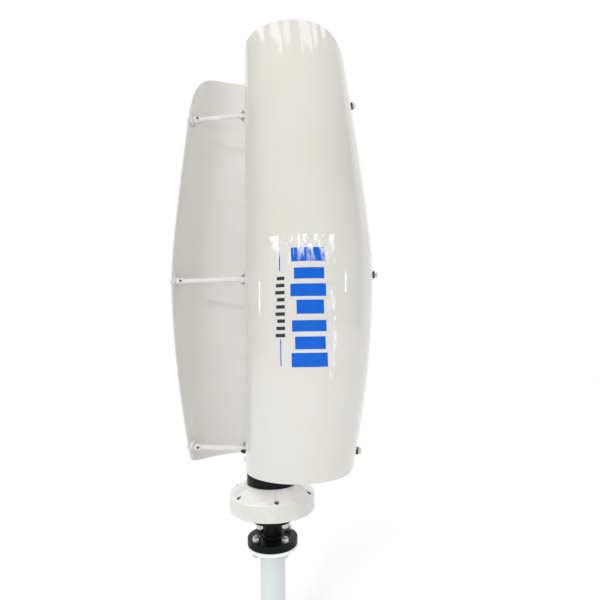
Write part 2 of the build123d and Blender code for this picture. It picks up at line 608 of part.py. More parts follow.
def m10_nuts(low, radius, turn):
    nut = hex_prism(M10_FLATS, low, low + M10_NUT, radius) - rod(M10_R, low - 1, low + M10_NUT + 1, radius)
    return around(nut, 4, turn)


def m10_washers(low, radius, turn):
    flat = rod(M10_WASHER_R, low, low + M10_WASHER, radius)
    flat -= rod(M10_HOLE, low - 1, low + M10_WASHER + 1, radius)
    return around(flat, 4, turn)


def build_nuts():
    neck_washer = NECK_FLANGE_Z - M10_WASHER
    nuts = m10_nuts(neck_washer - M10_NUT, NECK_BOLT_R, NECK_BOLT_TURN)
    nuts += m10_nuts(BASE_TOP + M10_WASHER, FLANGE_BOLT_R, FLANGE_BOLT_TURN)
    save("m10_nuts", nuts)
    washers = m10_washers(neck_washer, NECK_BOLT_R, NECK_BOLT_TURN)
    washers += m10_washers(BASE_TOP, FLANGE_BOLT_R, FLANGE_BOLT_TURN)
    washers += m10_washers(FLANGE_BOTTOM - M10_WASHER, FLANGE_BOLT_R, FLANGE_BOLT_TURN)
    save("m10_washers", washers)


def weld_ring(radius, level, size, up=1):
    """Rounded fillet bead round a tube where it meets a flange."""
    outline = make_face(Polyline((radius, level), (radius + size, level),
                                 (radius + 0.75 * size, level + up * 0.6 * size),
                                 (radius, level + up * size), close=True))
    return revolve(Plane.XZ * outline, Axis.Z)


def flange_hole():
    return rod(M10_HOLE, FLANGE_BOTTOM - 1, BASE_TOP + 1, FLANGE_BOLT_R)


def flange(low, high, inner):
    plate = chamfer(rod(FLANGE_R, low, high).edges().filter_by(GeomType.CIRCLE), 0.8)
    return cut_all(plate - rod(inner, low - 1, high + 1), around(flange_hole(), 4, FLANGE_BOLT_TURN))


def build_mast():
    bore = MAST_R - MAST_WALL
    tube = ring(MAST_R, bore, 0, SPIGOT_Z) + ring(SPIGOT_R, bore, SPIGOT_Z, MAST_TOP)
    save("mast_tube", tube)
    save("mast_flange", flange(FLANGE_BOTTOM, MAST_TOP, SPIGOT_R))
    save("mast_weld", weld_ring(SPIGOT_R, FLANGE_BOTTOM, WELD, -1))
    save("adaptor_plate", flange(MAST_TOP, BASE_BOTTOM, CABLE_HOLE_R))
    save("base_flange", flange(BASE_BOTTOM, BASE_TOP, NECK_R))
    bore = CABLE_HOLE_R - GROMMET_WALL
    grommet = ring(CABLE_HOLE_R + 3, bore, MAST_TOP - GROMMET_LIP, MAST_TOP)
    grommet += ring(CABLE_HOLE_R, bore, MAST_TOP, BASE_BOTTOM)
    save("cable_grommet", grommet)
    seat = FLANGE_BOTTOM - M10_WASHER
    end = BASE_TOP + M10_WASHER + M10_NUT + BOLT_END
    bolt = hex_prism(M10_FLATS, seat - M10_HEAD, seat, FLANGE_BOLT_R)
    bolt += rod(M10_R, seat, end, FLANGE_BOLT_R)
    save("flange_bolts", around(bolt, 4, FLANGE_BOLT_TURN))


os.makedirs("parts", exist_ok=True)
build_mast()
build_neck()
build_nuts()
build_shaft()
build_generator()
build_hub()
build_rotor()
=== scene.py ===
"""Two-blade vertical axis wind turbine: finishes, fasteners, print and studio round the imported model.

Metres, +Z up along the spin axis. Laid out as an add-on and run as a script.
"""

import math

import bmesh
import bpy
from bpy.props import FloatProperty, FloatVectorProperty, PointerProperty
from mathutils import Matrix, Vector
from mathutils.bvhtree import BVHTree


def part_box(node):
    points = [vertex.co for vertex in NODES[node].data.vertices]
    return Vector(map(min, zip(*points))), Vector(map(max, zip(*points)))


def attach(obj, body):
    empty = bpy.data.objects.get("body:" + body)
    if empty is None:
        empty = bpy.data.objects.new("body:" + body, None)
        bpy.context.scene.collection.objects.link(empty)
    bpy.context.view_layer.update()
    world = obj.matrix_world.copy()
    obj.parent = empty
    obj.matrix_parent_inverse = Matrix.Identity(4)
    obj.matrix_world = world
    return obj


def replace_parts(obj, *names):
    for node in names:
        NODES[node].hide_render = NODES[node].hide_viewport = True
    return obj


bl_info = {
    "name": "Vertical axis turbine",
    "version": (1, 0, 0),
    "blender": (4, 5, 0),
    "location": "View3D > Sidebar > Turbine",
    "description": "Finishes and details for a two-blade vertical axis wind turbine",
    "category": "Object",
}

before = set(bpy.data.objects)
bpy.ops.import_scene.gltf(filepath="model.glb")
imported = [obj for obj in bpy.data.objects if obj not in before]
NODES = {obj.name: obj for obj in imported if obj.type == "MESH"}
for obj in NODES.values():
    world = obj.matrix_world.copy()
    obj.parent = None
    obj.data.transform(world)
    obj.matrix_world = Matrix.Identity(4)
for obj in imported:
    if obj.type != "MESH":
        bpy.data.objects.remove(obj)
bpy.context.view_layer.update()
MM = 0.001
LAP = 0.1 * MM                   # how far shanks and threads run into each other

SIDES = 48                       # corners round a turned head or nut
SHANK_SIDES = 28

# The print, in shares of the film's height and width
BAR_ROWS, BAR_FROM, BARS_TALL = 7, 0.092, 0.84
BAR_LEFT, BAR_RIGHT = 0.34, 0.868
BAR_TRIMS = (0.0, 0.0583, 0.0159, 0.0901)
RULE_AT, RULE_TALL = 0.166, 0.18
RULES_FROM = (0.10, 0.75)
TICK_ROWS, TICK_FROM, TICK_STEP, TICK_TALL = 9, 0.295, 0.049, 0.024
RULE_WIDE = 2.4 * MM

# Skylights mirrored at the top of the blades: turn from straight ahead, width and lower edge, degrees
SKYLIGHTS = ((-75.0, 18.0, 38.4), (-35.0, 27.0, 41.6), (-8.0, 15.0, 44.2),
             (39.0, 30.0, 45.8), (65.0, 13.0, 45.6), (91.0, 12.0, 45.2))
SKYLIGHT_TALL = 2.9
SKYLIGHT_FAR = 4.0               # metres from the top of the blades
SKYLIGHT_SEEN = (0.1, -0.2, 1.4)

# Front lamps and the two strips at the sides: place, point aimed at, width and height
KEY = ((-1.1, -3.3, 2.2), (-0.05, 0.0, 0.95), (0.45, 0.3))
FILL = ((0.5, -2.6, 0.7), (0.0, 0.0, 0.6), (0.7, 0.5))
STRIP_LEFT = ((-2.6, -0.3, 1.03), (0.0, -0.1, 0.85), (0.12, 0.3))
STRIP_RIGHT = ((2.4, -0.8, 1.03), (0.19, -0.1, 0.85), (0.12, 0.24))
DAYLIGHT, WARM, WHITE = (1.0, 0.99, 0.96), (1.0, 0.99, 0.97), (1.0, 1.0, 1.0)
GLOW_TOWARDS = (-0.12, -0.86, 0.5)

FLOOR_RADIUS = 9.0
SENSOR_WIDTH = 36.0              # millimetres


# ---------------------------------------------------------------- settings
def colour_prop(name, description, default):
    return FloatVectorProperty(
        name=name, description=description, default=default, size=3,
        min=0.0, max=1.0, subtype="COLOR")


def length_prop(name, description, default):
    return FloatProperty(name=name, description=description, default=default, unit="LENGTH")


def strength_prop(name, description, default):
    return FloatProperty(name=name, description=description, default=default, min=0.0)


class PaintSettings(bpy.types.PropertyGroup):
    """Colours of the painted and moulded pieces."""
    shell: colour_prop("Shell", "Gelcoat of the blades", (0.69, 0.67, 0.615))
    # Painted shade: a cooler tint for the low end of the blades, standing in for how light falls there
    shell_low_painted_shade: colour_prop("Shell, low end", "Gelcoat near the generator", (0.66, 0.662, 0.652))
    # Painted light: paler than the gelcoat really is, standing in for light on the hollow inner faces
    inside: colour_prop("Shell, inside", "Painted-light gelcoat inside the blades", (0.855, 0.832, 0.812))
    enamel: colour_prop("Enamel", "Enamel of the generator covers", (0.7, 0.695, 0.655))
    # Painted light: paler colour for the upward faces of the cover, standing in for light from above
    enamel_top_painted_light: colour_prop("Generator top", "Painted-light-paler enamel on the cone of the cover", (0.93, 0.925, 0.9))
    arms: colour_prop("Arms", "Powder coat of the arms and feet", (0.74, 0.74, 0.735))
    flange: colour_prop("Mast flange", "Enamel on the welded flange", (0.86, 0.88, 0.88))
    mast: colour_prop("Mast", "Paint of the mast pipe", (0.66, 0.72, 0.73))
    black: colour_prop("Black", "Black enamel of hub, neck and flanges", (0.006, 0.0085, 0.009))
    ink: colour_prop("Ink", "Main colour of the printed bars", (0.0, 0.11, 0.6))


class PrintSettings(bpy.types.PropertyGroup):
    """Place and size of the clear film with the printed bars on blade A."""
    bottom: length_prop("Bottom", "Height of the film's lower edge", 0.639)
    height: length_prop("Height", "Height of the film", 0.314)
    left: length_prop("Left", "X of the film's left edge on the blade", 0.028)
    width: length_prop("Width", "Width of the film seen from the front", 0.144)
    lift: length_prop("Lift", "Film above the gelcoat", 0.00018)


class StudioSettings(bpy.types.PropertyGroup):
    """Camera, lights and floor."""
    camera: FloatVectorProperty(
        name="Camera", description="Place of the camera", default=(0.2355, -1.0888, 0.7309),
        size=3, subtype="TRANSLATION", unit="LENGTH")
    yaw: FloatProperty(name="Yaw", description="Turn of the camera to the left, degrees", default=8.421)
    pitch: FloatProperty(name="Pitch", description="Upward tilt of the camera, degrees", default=4.822)
    roll: FloatProperty(name="Roll", description="Roll of the camera, degrees", default=-0.772)
    lens: FloatProperty(name="Lens", description="Focal length in millimetres", default=26.593)
    floor: colour_prop("Floor", "Colour of the floor", (0.98, 0.98, 0.98))
    room: strength_prop("Room light", "Strength of the light from the sides", 0.3)
    backdrop: strength_prop("Backdrop", "Strength of the light from behind", 1.02)
    ceiling: strength_prop("Ceiling", "Strength of the light from above", 1.3)
    glow: strength_prop("Front glow", "Strength of the soft light in front", 0.35)
    skylight: strength_prop("Skylights", "Brightness of the row of skylights", 2.6)
    key: strength_prop("Key", "Power of the soft front light, watts", 19.0)
    fill: strength_prop("Fill", "Power of the low front light, watts", 7.0)
    strip_left: strength_prop("Left strip", "Power of the left strip light, watts", 1.0)
    strip_right: strength_prop("Right strip", "Power of the right strip light, watts", 0.9)


# ---------------------------------------------------------------- node helpers
class Graph:
    """A node tree with short calls for adding and linking its nodes."""

    def __init__(self, tree):
        self.tree = tree

    def plug(self, value, socket):
        """Link another node's output, or set a number, vector or colour."""
        if isinstance(value, bpy.types.NodeSocket):
            self.tree.links.new(value, socket)
        else:
            socket.default_value = value

    def add(self, kind, **inputs):
        node = self.tree.nodes.new(kind)
        for name, value in inputs.items():
            self.plug(value, node.inputs[name.replace("_", " ")])
        return node

    def operate(self, kind, operation, values):
        """A math or vector math node fed with values in order."""
        node = self.tree.nodes.new(kind)
        node.operation = operation
        for value, socket in zip(values, node.inputs):
            self.plug(value, socket)
        return node

    def math(self, operation, *values):
        return self.operate("ShaderNodeMath", operation, values).outputs[0]

    def dot(self, first, second):
        return self.operate("ShaderNodeVectorMath", "DOT_PRODUCT", (first, second)).outputs["Value"]

    def part(self, vector, axis):
        """One of a vector's numbers: 0, 1 and 2 for X, Y and Z."""
        return self.add("ShaderNodeSeparateXYZ", Vector=vector).outputs[axis]

    def ramp(self, value, low, high, start=0.0, end=1.0):
        """Map a value between two levels, clamped."""
        node = self.add("ShaderNodeMapRange", Value=value)
        for index, number in enumerate((low, high, start, end), 1):
            node.inputs[index].default_value = number
        return node.outputs[0]


class Finish(Graph):
    """A material on one principled shader, laid out in the object's own metres."""

    def __init__(self, name):
        self.material = bpy.data.materials.new(name)
        self.material.use_nodes = True
        super().__init__(self.material.node_tree)
        self.tree.nodes.clear()
        self.shader = self.add("ShaderNodeBsdfPrincipled")
        output = self.add("ShaderNodeOutputMaterial")
        self.tree.links.new(self.shader.outputs[0], output.inputs[0])
        coordinates = self.add("ShaderNodeTexCoord").outputs
        self.place, self.facing = coordinates["Object"], coordinates["Normal"]

    def link(self, output, socket):
        self.tree.links.new(output, self.shader.inputs[socket])

    def set(self, **values):
        """Numbers and colours that are the same all over, on the shader's own sockets."""
        for name, value in values.items():
            self.shader.inputs[name.replace("_", " ")].default_value = value

    def stretched(self, scale):
        return self.add("ShaderNodeMapping", Vector=self.place, Scale=scale).outputs[0]

    def noise(self, scale, detail=3.0, roughness=0.5, vector=None, distortion=0.0):
        node = self.add(
            "ShaderNodeTexNoise", Vector=vector or self.place, Scale=scale,
            Detail=detail, Roughness=roughness, Distortion=distortion)
        return node.outputs[0]

    def outward(self):
        """How far a face looks away from the spin axis, in metres: below zero inside a blade."""
        return self.dot(self.facing, self.stretched((1.0, 1.0, 0.0)))

    def mix(self, factor, first, second):
        """Mix two colours."""
        node = self.tree.nodes.new("ShaderNodeMix")
        node.data_type = "RGBA"
        for index, value in ((0, factor), (6, first), (7, second)):
            self.plug(value, node.inputs[index])
        return node.outputs[2]

    def bump(self, height, strength, distance, under=None):
        """A bump, on top of another one if that is given."""
        node = self.add("ShaderNodeBump", Height=height, Strength=strength, Distance=distance)
        if under is not None:
            self.tree.links.new(under, node.inputs["Normal"])
        return node.outputs[0]


def shade(colour, factor):
    """A colour made darker or lighter, with full alpha."""
    return tuple(min(1.0, channel * factor) for channel in colour[:3]) + (1.0,)


# ---------------------------------------------------------------- finishes
def gelcoat(paint):
    """Thick glossy gelcoat: slow waves, faint clouding, painted shade that gives the low end a cooler tint,
    and painted light that makes the inner faces paler.
    """
    n = Finish("Blade gelcoat")
    # Painted shade: the tint turns cooler towards the low end, by height
    rise = n.ramp(n.part(n.place, 2), 0.45, 1.35)
    outside = n.mix(rise, shade(paint.shell_low_painted_shade, 1.0), shade(paint.shell, 1.0))
    # Painted light: faces looking towards the spin axis get the paler inside colour
    inside = n.ramp(n.outward(), -0.004, 0.004, 1.0, 0.0)
    clean = n.mix(inside, outside, shade(paint.inside, 1.0))
    cloudy = n.mix(inside, shade(paint.shell, 0.955), shade(paint.inside, 0.97))
    toned = n.mix(n.ramp(n.noise(5.0, 4.0, 0.55), 0.35, 0.7), clean, cloudy)
    specks = n.ramp(n.noise(420.0, 2.0), 0.69, 0.76, 0.0, 0.35)
    n.link(n.mix(specks, toned, shade(paint.shell, 0.72)), "Base Color")
    n.link(n.ramp(n.noise(14.0, 4.0, 0.6), 0.3, 0.75, 0.13, 0.2), "Roughness")
    waves = n.bump(n.noise(7.0, 2.0, 0.5, n.stretched((1.0, 1.0, 0.35))), 0.13, 0.004)
    peel = n.bump(n.noise(260.0, 2.0), 0.12, 0.0003, waves)
    n.link(peel, "Normal")
    n.set(Coat_Weight=1.0, Coat_Roughness=0.02, Coat_IOR=1.45, IOR=1.3)
    return n.material


def cast_enamel(paint):
    """Glossy enamel over a cast cover: painted light makes its upward faces paler, with painted glint
    patches there, and a faint cast texture.
    """
    n = Finish("Cover enamel")
    tone = n.ramp(n.noise(18.0, 5.0, 0.6), 0.3, 0.72)
    side = n.mix(tone, shade(paint.enamel, 1.04), shade(paint.enamel, 0.9))
    # Painted highlight: noise patches, lighter and darker, standing in for glints on the glossy cone
    painted_glint_patches = n.ramp(n.noise(17.0, 2.0, 0.5, None, 0.8), 0.44, 0.6)
    top = n.mix(painted_glint_patches, shade(paint.enamel_top_painted_light, 1.0), shade(paint.enamel_top_painted_light, 0.91))
    # Painted light: faces that look upward get the paler top colour
    base = n.mix(n.ramp(n.part(n.facing, 2), 0.3, 0.7), side, top)
    grime = n.ramp(n.noise(65.0, 6.0, 0.7), 0.62, 0.8, 0.0, 0.35)
    n.link(n.mix(grime, base, (0.52, 0.49, 0.42, 1.0)), "Base Color")
    n.link(n.ramp(n.noise(40.0, 4.0), 0.3, 0.7, 0.16, 0.3), "Roughness")
    slow = n.bump(n.noise(26.0, 2.0, 0.5), 0.5, 0.0016)
    n.link(n.bump(n.noise(340.0, 3.0, 0.6), 0.2, 0.0004, slow), "Normal")
    n.set(Coat_Weight=0.5, Coat_Roughness=0.08)
    return n.material


def powder_coat(name, colour, gloss=0.34):
    """Powder coat with fine orange peel and slight shade changes."""
    n = Finish(name)
    tone = n.ramp(n.noise(45.0, 4.0, 0.6), 0.3, 0.7)
    base = n.mix(tone, shade(colour, 1.03), shade(colour, 0.92))
    n.link(base, "Base Color")
    n.link(n.ramp(n.noise(90.0, 3.0), 0.3, 0.7, gloss - 0.06, gloss + 0.08), "Roughness")
    n.link(n.bump(n.noise(900.0, 2.0), 0.25, 0.0002), "Normal")
    n.set(Coat_Weight=0.15, Coat_Roughness=0.2)
    return n.material


def mast_paint(paint):
    """Glossy pale paint drawn down the pipe, with faint lengthwise streaks."""
    n = Finish("Mast paint")
    streaks = n.ramp(n.noise(45.0, 3.0, 0.5, n.stretched((1.0, 1.0, 0.05))), 0.3, 0.75)
    base = n.mix(streaks, shade(paint.mast, 1.02), shade(paint.mast, 0.965))
    rub = n.ramp(n.noise(160.0, 4.0, 0.6), 0.72, 0.84, 0.0, 0.2)
    n.link(n.mix(rub, base, shade(paint.mast, 0.7)), "Base Color")
    n.link(n.ramp(n.noise(60.0, 3.0), 0.3, 0.7, 0.16, 0.26), "Roughness")
    n.link(n.bump(n.noise(420.0, 2.0), 0.1, 0.0002), "Normal")
    n.set(IOR=1.4, Coat_Weight=0.3, Coat_Roughness=0.06)
    return n.material


def black_enamel(paint):
    """Brushed-on black enamel with dust in the low spots and worn edges."""
    n = Finish("Black enamel")
    dust = n.ramp(n.noise(120.0, 6.0, 0.7), 0.52, 0.78, 0.0, 0.55)
    dusty = n.mix(dust, shade(paint.black, 1.0), (0.014, 0.018, 0.016, 1.0))
    chips = n.ramp(n.noise(520.0, 3.0, 0.6), 0.70, 0.76, 0.0, 0.35)
    n.link(n.mix(chips, dusty, (0.07, 0.065, 0.05, 1.0)), "Base Color")
    n.link(n.ramp(n.noise(70.0, 5.0, 0.6), 0.3, 0.75, 0.22, 0.44), "Roughness")
    coarse = n.bump(n.noise(95.0, 3.0), 0.45, 0.0008)
    n.link(n.bump(n.noise(700.0, 2.0), 0.2, 0.0003, coarse), "Normal")
    n.set(IOR=1.2, Specular_IOR_Level=0.35, Coat_Weight=0.05, Coat_Roughness=0.1)
    return n.material


def zinc_steel(name, colour=(0.62, 0.61, 0.585), rough=0.3):
    """Zinc plated steel: spangled tone, turning marks and a few dull patches."""
    n = Finish(name)
    grain = n.ramp(n.noise(480.0, 4.0, 0.65), 0.3, 0.7)
    base = n.mix(grain, shade(colour, 1.12), shade(colour, 0.72))
    dull = n.ramp(n.noise(130.0, 4.0), 0.56, 0.72, 0.0, 0.6)
    n.link(n.mix(dull, base, (0.34, 0.32, 0.28, 1.0)), "Base Color")
    n.link(n.ramp(n.noise(260.0, 4.0), 0.3, 0.72, rough - 0.08, rough + 0.16), "Roughness")
    n.link(n.bump(n.noise(1500.0, 2.0), 0.25, 0.00012), "Normal")
    n.set(Metallic=1.0)
    return n.material


def turned_metal(name, colour, rough):
    """Machined metal with fine rings round the spin axis."""
    n = Finish(name)
    rings = n.add("ShaderNodeTexWave", Vector=n.place, Scale=900.0, Distortion=2.0)
    rings.wave_type = "RINGS"
    rings.rings_direction = "Z"
    base = n.mix(rings.outputs[1], shade(colour, 1.06), shade(colour, 0.86))
    n.link(base, "Base Color")
    n.link(n.ramp(n.noise(200.0, 3.0), 0.3, 0.7, rough - 0.06, rough + 0.12), "Roughness")
    n.link(n.bump(rings.outputs[1], 0.15, 0.00008), "Normal")
    n.set(Metallic=1.0)
    return n.material


def windings():
    """Enamelled copper wire wound in flat rings."""
    n = Finish("Copper windings")
    wire = n.add("ShaderNodeTexWave", Vector=n.place, Scale=320.0, Distortion=1.2)
    wire.bands_direction = "Z"
    n.link(n.mix(wire.outputs[1], (0.52, 0.19, 0.07, 1.0), (0.72, 0.34, 0.16, 1.0)), "Base Color")
    n.link(n.ramp(n.noise(300.0, 3.0), 0.3, 0.7, 0.24, 0.4), "Roughness")
    n.link(n.bump(wire.outputs[1], 0.6, 0.0005), "Normal")
    n.set(Metallic=0.85)
    return n.material


def moulded(name, dark, pale, rough):
    """Rubber, resin or moulded plastic with a fine grain and a dusty bloom."""
    n = Finish(name)
    bloom = n.ramp(n.noise(70.0, 5.0, 0.65), 0.45, 0.75, 0.0, 0.7)
    n.link(n.mix(bloom, dark + (1.0,), pale + (1.0,)), "Base Color")
    n.link(n.ramp(n.noise(160.0, 3.0), 0.3, 0.7, rough - 0.08, rough + 0.1), "Roughness")
    n.link(n.bump(n.noise(600.0, 3.0, 0.6), 0.35, 0.0003), "Normal")
    return n.material


def clear_film(spot):
    """Thin clear vinyl, creased along its upper and right edges; the creased spots carry painted
    highlights: a whiter colour and a painted glow.
    """
    n = Finish("Clear film")
    top = n.ramp(n.part(n.place, 2), spot.bottom + 0.78 * spot.height, spot.bottom + 0.97 * spot.height)
    right = n.ramp(n.part(n.place, 0), spot.left + 0.86 * spot.width, spot.left + spot.width, 0.0, 0.75)
    grain = n.noise(95.0, 3.0, 0.6, n.stretched((1.0, 1.0, 0.22)), 0.6)
    creases_and_painted_glow = n.ramp(grain, 0.47, 0.58, 0.0, 0.9)
    n.link(n.math("MULTIPLY_ADD", n.math("MAXIMUM", top, right), creases_and_painted_glow, 0.008), "Alpha")
    # Painted highlight: the creased spots get a whiter colour
    n.link(n.mix(creases_and_painted_glow, (0.86, 0.88, 0.9, 1.0), (0.95, 0.95, 0.95, 1.0)), "Base Color")
    n.link(n.ramp(n.noise(45.0, 3.0), 0.3, 0.7, 0.08, 0.2), "Roughness")
    n.link(n.bump(creases_and_painted_glow, 0.5, 0.0006), "Normal")
    # Painted glow: the creased spots give off light though the film is no lamp, standing in for highlights
    n.link(n.ramp(creases_and_painted_glow, 0.0, 1.0, 0.0, 0.22), "Emission Strength")
    n.set(Emission_Color=(1.0, 1.0, 0.98, 1.0), Specular_IOR_Level=0.12)
    return n.material


def ink(name, colour):
    """Printed ink under film: slight mottling and a soft gloss."""
    n = Finish(name)
    mottle = n.ramp(n.noise(85.0, 5.0, 0.65), 0.35, 0.7)
    n.link(n.mix(mottle, shade(colour, 1.1), shade(colour, 0.85)), "Base Color")
    n.link(n.ramp(n.noise(50.0, 3.0), 0.3, 0.7, 0.16, 0.3), "Roughness")
    n.link(n.bump(n.noise(38.0, 3.0, 0.6), 0.3, 0.0012), "Normal")
    n.set(Specular_IOR_Level=0.12)
    return n.material


def shared(name, build, *args):
    """A finish is built once and reused."""
    return bpy.data.materials.get(name) or build(*args)


def wear(names, material):
    """Give CAD nodes a finish."""
    for name in names:
        mesh = NODES[name].data
        mesh.materials.clear()
        mesh.materials.append(material)


# ---------------------------------------------------------------- mesh helpers
class Shape:
    """Points and faces gathered from several closed shells."""

    def __init__(self):
        self.points = []
        self.faces = []

    def grid(self, rings, loop=False, matrix=Matrix.Identity(4)):
        """Join rings of equal length into a skin, capped at both ends or looped back to the first ring."""
        base, count = len(self.points), len(rings[0])
        self.points += [matrix @ Vector(point) for ring in rings for point in ring]
        for r in range(len(rings) if loop else len(rings) - 1):
            a, b = base + r * count, base + (r + 1) % len(rings) * count
            for i in range(count):
                j = (i + 1) % count
                self.faces.append((a + i, a + j, b + j, b + i))
        if not loop:
            last = base + (len(rings) - 1) * count
            self.faces.append(tuple(base + i for i in reversed(range(count))))
            self.faces.append(tuple(last + i for i in range(count)))

    def build(self, name, body, slot, material, smooth_angle=35.0):
        mesh = bpy.data.meshes.new(name)
        mesh.from_pydata([tuple(point) for point in self.points], [], self.faces)
        mesh.validate()
        piece = bpy.data.objects.new(name, mesh)
        bpy.context.scene.collection.objects.link(piece)
        mesh.materials.append(material)
        soften(mesh, smooth_angle)
        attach(piece, body)
        return piece


def soften(mesh, angle):
    """Smooth shading with sharp edges above an angle."""
    work = bmesh.new()
    work.from_mesh(mesh)
    bmesh.ops.recalc_face_normals(work, faces=work.faces)
    limit = math.radians(angle)
    for face in work.faces:
        face.smooth = True
    for edge in work.edges:
        edge.smooth = not edge.is_manifold or edge.calc_face_angle(0.0) < limit
    work.to_mesh(mesh)
    work.free()


def circle(radius, z, steps=SIDES):
    turns = [2 * math.pi * i / steps for i in range(steps)]
    return [(radius * math.cos(turn), radius * math.sin(turn), z) for turn in turns]


def hexagon(flats, z, chamfer=0):
    """Ring on a hexagon's outline; a chamfer of 1 or -1 lifts or drops its corners."""
    ring = []
    for i in range(SIDES):
        angle = 2 * math.pi * i / SIDES
        from_flat = (angle + math.pi / 6) % (math.pi / 3) - math.pi / 6
        radius = flats / 2 / math.cos(from_flat)
        dip = chamfer * 0.55 * (radius - flats / 2)
        ring.append((radius * math.cos(angle), radius * math.sin(angle), z + dip))
    return ring


def hex_head(shape, flats, low, high, matrix):
    """Bolt head with a washer face below and a chamfered, slightly dished top."""
    seat = low + 0.4 * MM
    rings = [circle(flats * 0.46, low), circle(flats * 0.46, seat), hexagon(flats, seat),
             hexagon(flats, high, -1), circle(flats * 0.455, high), circle(flats * 0.30, high - 0.2 * MM)]
    shape.grid(rings, matrix=matrix)


def hex_nut(shape, flats, hole, low, high, matrix):
    """Nut chamfered on both faces with a countersunk threaded hole."""
    lead = 0.12 * (high - low)
    rings = [circle(hole, low + lead), circle(hole * 1.12, low), circle(flats * 0.46, low),
             hexagon(flats, low, 1), hexagon(flats, high, -1),
             circle(flats * 0.46, high), circle(hole * 1.12, high), circle(hole, high - lead)]
    shape.grid(rings, loop=True, matrix=matrix)


def cap_head(shape, radius, height, socket, matrix):
    """Cap screw head hanging from its top face, with a hexagon socket."""
    edge, floor = 0.6 * MM, height * 0.6
    rings = [circle(radius, height), circle(radius, edge), circle(radius - edge, 0.0),
             circle(socket * 1.25, 0.0), hexagon(socket * 2, 0.2 * MM), hexagon(socket * 2, floor)]
    shape.grid(rings, matrix=matrix)


def screw_thread(shape, radius, pitch, low, high, matrix):
    """Helical thread between two levels, tapered at both ends."""
    depth = 0.12
    profile = ((0.0, 1 - depth), (0.38, 1.0), (0.5, 1.0), (0.88, 1 - depth))
    turns = int((high - low) / pitch) + 2
    rings = [circle(radius * 0.55, low, SHANK_SIDES)]
    for turn in range(-1, turns):
        for share, size in profile:
            ring = []
            for i in range(SHANK_SIDES):
                angle = 2 * math.pi * i / SHANK_SIDES
                z = min(max(low + (turn + share + i / SHANK_SIDES) * pitch, low), high)
                taper = min(1.0, 0.78 + 0.22 * min(z - low, high - z) / (0.7 * pitch))
                reach = radius * size * taper
                ring.append((reach * math.cos(angle), reach * math.sin(angle), z))
            rings.append(ring)
    rings.append(circle(radius * 0.55, high, SHANK_SIDES))
    shape.grid(rings, matrix=matrix)


def plain_shank(shape, radius, low, high, matrix):
    shape.grid([circle(radius, low, SHANK_SIDES), circle(radius, high, SHANK_SIDES)], matrix=matrix)


def bead(node, name, slot, material):
    """Rippled weld bead in place of a plain ring."""
    low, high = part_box(node)
    size = high.z - low.z
    inner = (high.x - low.x) / 2 - size
    up, root = (1.0, low.z) if node == "neck_weld" else (-1.0, high.z)
    hidden = inner - 0.4 * MM
    ripples = int(2 * math.pi * inner / (3.4 * MM))
    around, section = ripples * 6, 10
    rings = []
    for i in range(around):
        angle = 2 * math.pi * i / around
        swell = size * (0.90 + 0.08 * abs(math.sin(angle * ripples / 2)) + 0.02 * math.sin(5 * angle + 0.7))
        turns = [math.pi / 2 * k / (section - 1) for k in range(section)]
        outline = [(hidden + swell * math.cos(turn), root + up * swell * math.sin(turn)) for turn in turns]
        outline.append((hidden, root))
        rings.append([(r * math.cos(angle), r * math.sin(angle), z) for r, z in outline])
    shape = Shape()
    shape.grid(rings, loop=True)
    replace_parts(shape.build(name, "mast", slot, material, 60.0), node)


def solid_boxes(node):
    """Boxes of the separate solids of a node, found by joining its faces."""
    work = bmesh.new()
    work.from_mesh(NODES[node].data)
    bmesh.ops.remove_doubles(work, verts=work.verts, dist=1e-6)
    work.verts.ensure_lookup_table()
    seen, boxes = set(), []
    for start in work.verts:
        if start.index in seen:
            continue
        stack, island = [start], []
        seen.add(start.index)
        while stack:
            vert = stack.pop()
            island.append(vert.co.copy())
            for edge in vert.link_edges:
                other = edge.other_vert(vert)
                if other.index not in seen:
                    seen.add(other.index)
                    stack.append(other)
        low = Vector(min(p[k] for p in island) for k in range(3))
        high = Vector(max(p[k] for p in island) for k in range(3))
        boxes.append((low, high))
    work.free()
    return boxes


def upright(box):
    """Matrix that stands a shape on a box's lower end, turned to face the axis."""
    low, high = box
    x, y = (low.x + high.x) / 2, (low.y + high.y) / 2
    return Matrix.Translation((x, y, low.z)) @ Matrix.Rotation(math.atan2(y, x), 4, "Z")


def upended(height):
    """Matrix that turns a shape over, so that its base is at a height and it hangs down."""
    return Matrix.Translation((0, 0, height)) @ Matrix.Rotation(math.pi, 4, "X")


def sideways(box):
    """Matrix that lays a shape along X with its base at the end away from the axis."""
    low, high = box
    y, z = (low.y + high.y) / 2, (low.z + high.z) / 2
    out = 1.0 if low.x + high.x > 0 else -1.0
    start = high.x if out > 0 else low.x
    inward = Matrix.Rotation(-out * math.pi / 2, 4, "Y")
    return Matrix.Translation((start, y, z)) @ inward


# ---------------------------------------------------------------- operators
def paint():
    return bpy.context.scene.turbine_paint


def steel():
    return shared("Zinc plated steel", zinc_steel, "Zinc plated steel")


def oxide_steel():
    return shared("Black oxide steel", zinc_steel, "Black oxide steel", (0.05, 0.05, 0.052), 0.36)


def black():
    return shared("Black enamel", black_enamel, paint())


def in_place_of(node, body, fill):
    """Bright steel pieces for the boxes of a node's solids, in place of that node."""
    shape = Shape()
    for box in solid_boxes(node):
        fill(shape, box)
    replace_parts(shape.build(node + "_detail", body, "bright_steel", steel()), node)


class TURBINE_OT_blades(bpy.types.Operator):
    """Give both blades their glossy gelcoat"""
    bl_idname = "turbine.blades"
    bl_label = "Blades"

    def execute(self, context):
        wear(("blade_a", "blade_b"), gelcoat(paint()))
        return {"FINISHED"}


